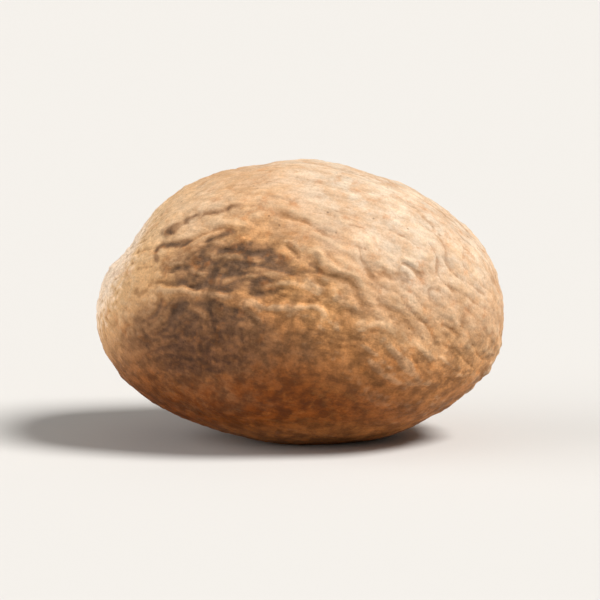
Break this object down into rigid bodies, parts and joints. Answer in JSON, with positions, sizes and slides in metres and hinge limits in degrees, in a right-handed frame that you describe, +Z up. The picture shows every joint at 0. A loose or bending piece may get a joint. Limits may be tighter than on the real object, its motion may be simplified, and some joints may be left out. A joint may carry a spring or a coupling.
{
  "type": "whole nutmeg",
  "caption": "Whole dried nutmeg: an egg-shaped brown seed with a wrinkled skin, a pale scar at one end and a small dark pit at the other, lying on its side.",
  "frame": {"origin": "centre of the kernel's box in X and Y, at the height of the flat spot that it rests on", "axes": "+X along the kernel, from the pale scar (hilum) at -X to the pit (chalaza) at +X; -Y is the side with the long folds, which shows; +Z up"},
  "size_m": [0.026, 0.0178, 0.0179],
  "materials": {
    "kernel_skin": "dry seed skin: tan on the crests, darker brown in the furrows, greyish dark patches, matte to faintly satin"
  },
  "bodies": {
    "root": {"nutmeg": "kernel_skin"}
  },
  "joints": []
}
